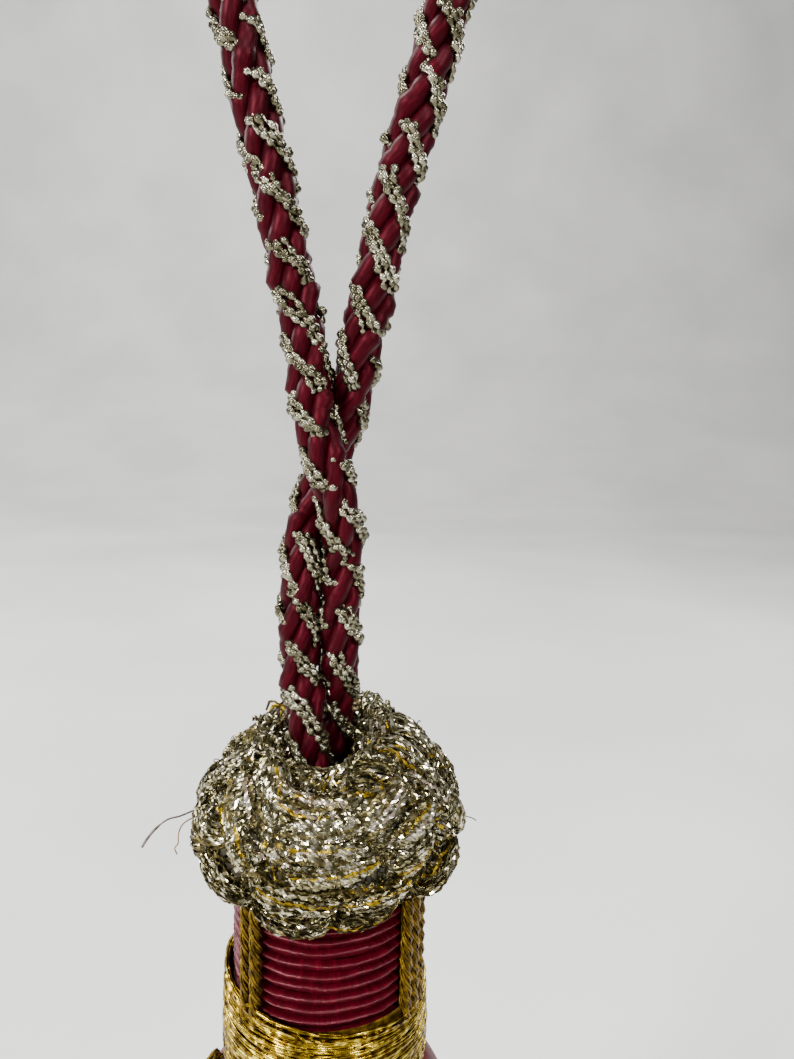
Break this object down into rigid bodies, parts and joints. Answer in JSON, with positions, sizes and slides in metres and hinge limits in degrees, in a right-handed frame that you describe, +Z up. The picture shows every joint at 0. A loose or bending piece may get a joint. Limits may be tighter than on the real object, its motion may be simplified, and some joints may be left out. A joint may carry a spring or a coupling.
{
  "type": "tassel",
  "caption": "Hanging tassel with a braided loop, a ruff of metallic thread, a wound neck with gold cords and band, a flared bell and a long fringe skirt.",
  "frame": {"origin": "the point where the loop hangs, inside its apex", "axes": "+Z up along the tassel, -Y towards the side with the pinched loop's crossing in front, +X to the right of that side"},
  "size_m": [0.0536, 0.0535, 0.3358],
  "materials": {
    "crimson_braid": "satin braid with silver metallic strands",
    "metal_thread": "glittering twisted metallic thread",
    "crimson_gimp": "satin gimp winding",
    "gold_cord": "twisted gold metallic cord",
    "gold_skein": "wound gold metallic thread",
    "crimson_bell": "satin thread laid over a mould",
    "crimson_fringe": "soft viscose fringe"
  },
  "bodies": {
    "root": {"loop_cord": "crimson_braid", "ruff": "metal_thread", "neck_winding": "crimson_gimp", "neck_cord_1": "gold_cord", "neck_cord_2": "gold_cord", "neck_cord_3": "gold_cord", "neck_cord_4": "gold_cord", "neck_cord_5": "gold_cord", "neck_cord_6": "gold_cord", "neck_cord_7": "gold_cord", "gold_band": "gold_skein", "bell": "crimson_bell", "shoulder_cord_1": "gold_cord", "shoulder_cord_2": "gold_cord", "shoulder_cord_3": "gold_cord", "shoulder_cord_4": "gold_cord", "shoulder_cord_5": "gold_cord", "shoulder_cord_6": "gold_cord", "skirt": "crimson_fringe"}
  },
  "joints": []
}
